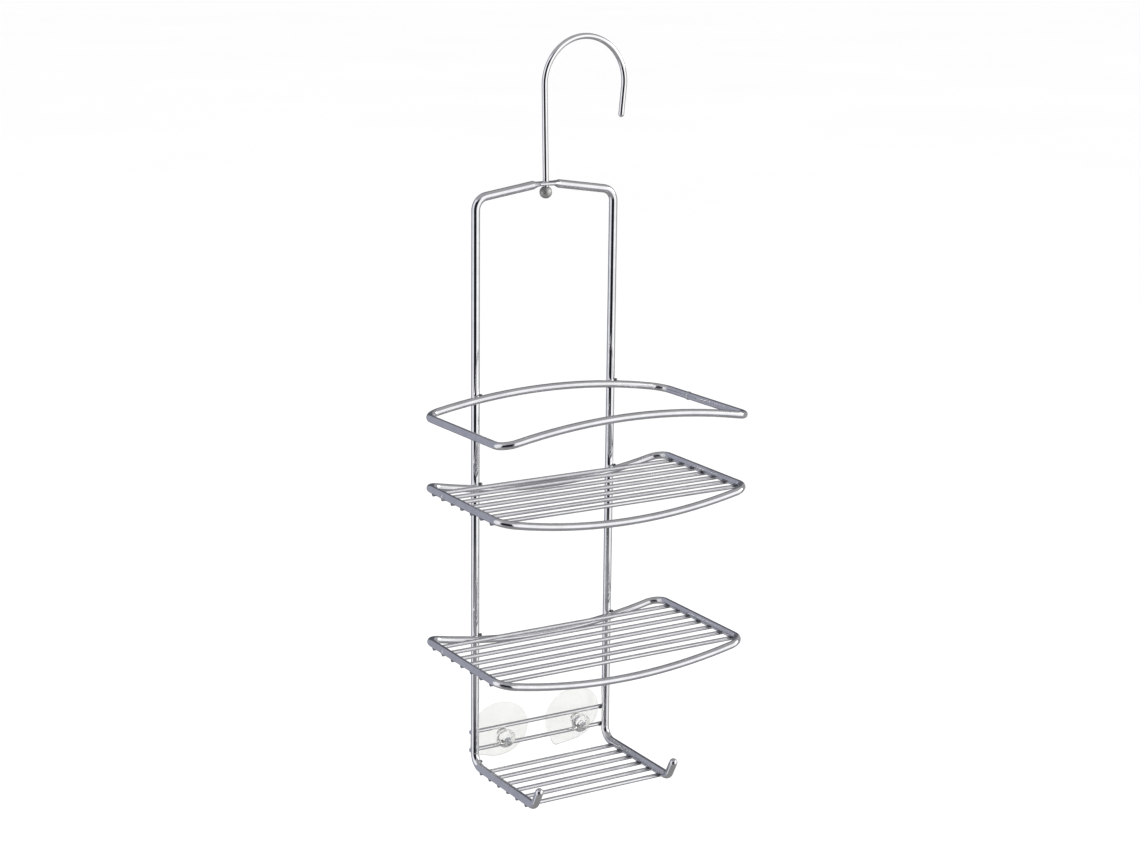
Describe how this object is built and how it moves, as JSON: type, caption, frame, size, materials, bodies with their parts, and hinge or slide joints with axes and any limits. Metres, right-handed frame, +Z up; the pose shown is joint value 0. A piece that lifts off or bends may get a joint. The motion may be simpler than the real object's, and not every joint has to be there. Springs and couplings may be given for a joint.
{
  "type": "shower caddy",
  "caption": "Hanging wire shower caddy with a swivel hook, guard ring, two slatted shelves, a slatted soap base with hook tips and clear suction cups.",
  "frame": {"origin": "hook seat: the point inside the top of the hook loop that rests on the shower arm", "axes": "+Z up, +X to the right along the shelves, +Y towards the wall behind"},
  "size_m": [0.2352, 0.1593, 0.6195],
  "materials": {
    "frame_metal": "satin bright plating on bent wire",
    "ring_metal": "satin bright plating on bent wire",
    "slat_metal": "satin bright plating on straight wire",
    "hook_metal": "bright plating on bent wire",
    "ball_metal": "dull plating on a ball",
    "clear_pvc": "clear soft moulding"
  },
  "bodies": {
    "hook": {"hook_wire": "hook_metal", "ball_stop": "ball_metal"},
    "frame": {"frame_wire": "frame_metal", "guard_ring": "ring_metal", "upper_shelf_ring": "ring_metal", "lower_shelf_ring": "ring_metal", "upper_slat_1": "slat_metal", "upper_slat_2": "slat_metal", "upper_slat_3": "slat_metal", "upper_slat_4": "slat_metal", "upper_slat_5": "slat_metal", "upper_slat_6": "slat_metal", "upper_slat_7": "slat_metal", "lower_slat_1": "slat_metal", "lower_slat_2": "slat_metal", "lower_slat_3": "slat_metal", "lower_slat_4": "slat_metal", "lower_slat_5": "slat_metal", "lower_slat_6": "slat_metal", "lower_slat_7": "slat_metal", "base_slat_1": "slat_metal", "base_slat_2": "slat_metal", "base_slat_3": "slat_metal", "base_slat_4": "slat_metal", "base_slat_5": "slat_metal", "base_slat_6": "slat_metal", "cross_wire_low": "slat_metal", "cross_wire_high": "slat_metal"},
    "left_cup": {"suction_cup_left": "clear_pvc"},
    "right_cup": {"suction_cup_right": "clear_pvc"}
  },
  "joints": [
    {"name": "hook_swivel", "type": "hinge", "parent": "hook", "child": "frame", "pos_m": [-0.03596, 0, -0.11542], "axis": [0, 0, 1], "continuous": true},
    {"name": "left_cup_slide", "type": "slide", "parent": "frame", "child": "left_cup", "axis": [1, 0, 0], "range_m": [-0.0164, 0.0079]},
    {"name": "right_cup_slide", "type": "slide", "parent": "frame", "child": "right_cup", "axis": [1, 0, 0], "range_m": [-0.0119, 0.0137]}
  ]
}
